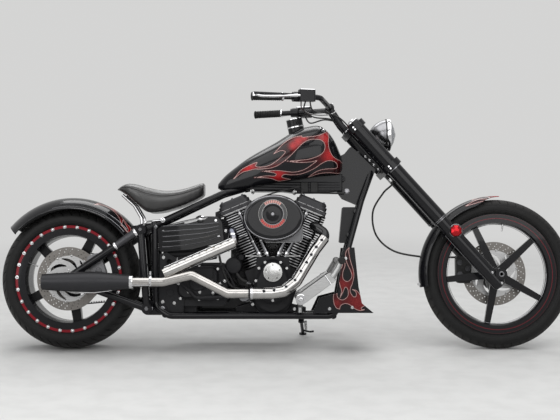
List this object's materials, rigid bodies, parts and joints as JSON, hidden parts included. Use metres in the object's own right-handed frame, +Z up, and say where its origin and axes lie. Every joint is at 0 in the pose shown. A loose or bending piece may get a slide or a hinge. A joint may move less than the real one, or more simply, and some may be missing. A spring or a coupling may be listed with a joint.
{
  "type": "chopper motorcycle",
  "caption": "Long raked V-twin chopper with a wide rear tyre, teardrop tank, pulled-back bars and a low saddle, leaning on its side stand.",
  "frame": {"origin": "on the floor, below the middle of the machine's length and width as it leans on its side stand", "axes": "+X towards the front wheel, +Y to the rider's left, the side it leans to, +Z up"},
  "size_m": [2.6677, 0.8692, 1.2165],
  "materials": {
    "black_paint": "gloss black paint",
    "flame_paint": "gloss black paint with red flames",
    "chrome": "polished chrome",
    "cast_black": "black finned castings",
    "leather": "black leather",
    "black_plastic": "satin black",
    "belt_rubber": "black rubber",
    "dark_metal": "matt dark grey heat-proof paint",
    "brushed": "brushed",
    "grip_rubber": "ribbed rubber",
    "lens": "clear lens",
    "tyre": "black rubber with tread",
    "disc_steel": "ground steel"
  },
  "bodies": {
    "chassis": {"frame": "black_paint", "swingarm": "black_paint", "rear_axle": "chrome", "oil_tank": "black_paint", "fuel_tank": "flame_paint", "speedometer": "black_plastic", "saddle": "leather", "saddle_strap": "chrome", "rear_fender": "flame_paint", "regulator": "cast_black", "crankcase": "cast_black", "cam_cover": "chrome", "cylinder_front": "cast_black", "cylinder_rear": "cast_black", "rocker_box_front": "chrome", "rocker_box_rear": "chrome", "pushrod_tubes": "chrome", "air_cleaner": "chrome", "intake": "cast_black", "primary_cover": "chrome", "transmission": "cast_black", "drive_belt": "belt_rubber", "exhaust_pipes": "chrome", "muffler": "dark_metal", "chin_spoiler": "flame_paint", "forward_control_right": "brushed", "forward_control_left": "brushed", "rear_caliper": "chrome"},
    "steering": {"top_tree": "black_paint", "bottom_tree": "black_paint", "fork_leg_right": "black_paint", "fork_leg_left": "black_paint", "handlebar": "chrome", "grips": "grip_rubber", "hand_controls": "chrome", "headlight_shell": "chrome", "headlight_lens": "lens", "front_fender": "flame_paint", "front_caliper": "chrome", "front_brake_hose": "belt_rubber", "front_axle": "chrome"},
    "front_wheel": {"front_tyre": "tyre", "front_rim": "black_paint", "front_disc": "disc_steel"},
    "rear_wheel": {"rear_tyre": "tyre", "rear_rim": "black_paint", "rear_disc": "disc_steel", "rear_pulley": "brushed"},
    "side_stand": {"side_stand": "black_paint"}
  },
  "joints": [
    {"name": "steering", "type": "hinge", "parent": "chassis", "child": "steering", "pos_m": [0.45187, -0.04375, 0.8295], "axis": [-0.6691, 0.1034, 0.7359], "range_deg": [-28, 28]},
    {"name": "front_wheel_spin", "type": "hinge", "parent": "steering", "child": "front_wheel", "pos_m": [0.987, -0.1119, 0.34456], "axis": [0, 0.9903, -0.1392], "continuous": true},
    {"name": "rear_wheel_spin", "type": "hinge", "parent": "chassis", "child": "rear_wheel", "pos_m": [-1.009, -0.11489, 0.32329], "axis": [0, 0.9903, -0.1392], "continuous": true},
    {"name": "side_stand_fold", "type": "hinge", "parent": "chassis", "child": "side_stand", "pos_m": [0.071, 0.00519, 0.09994], "axis": [0.0352, 0.4786, 0.8773], "range_deg": [0, 87.9]}
  ]
}
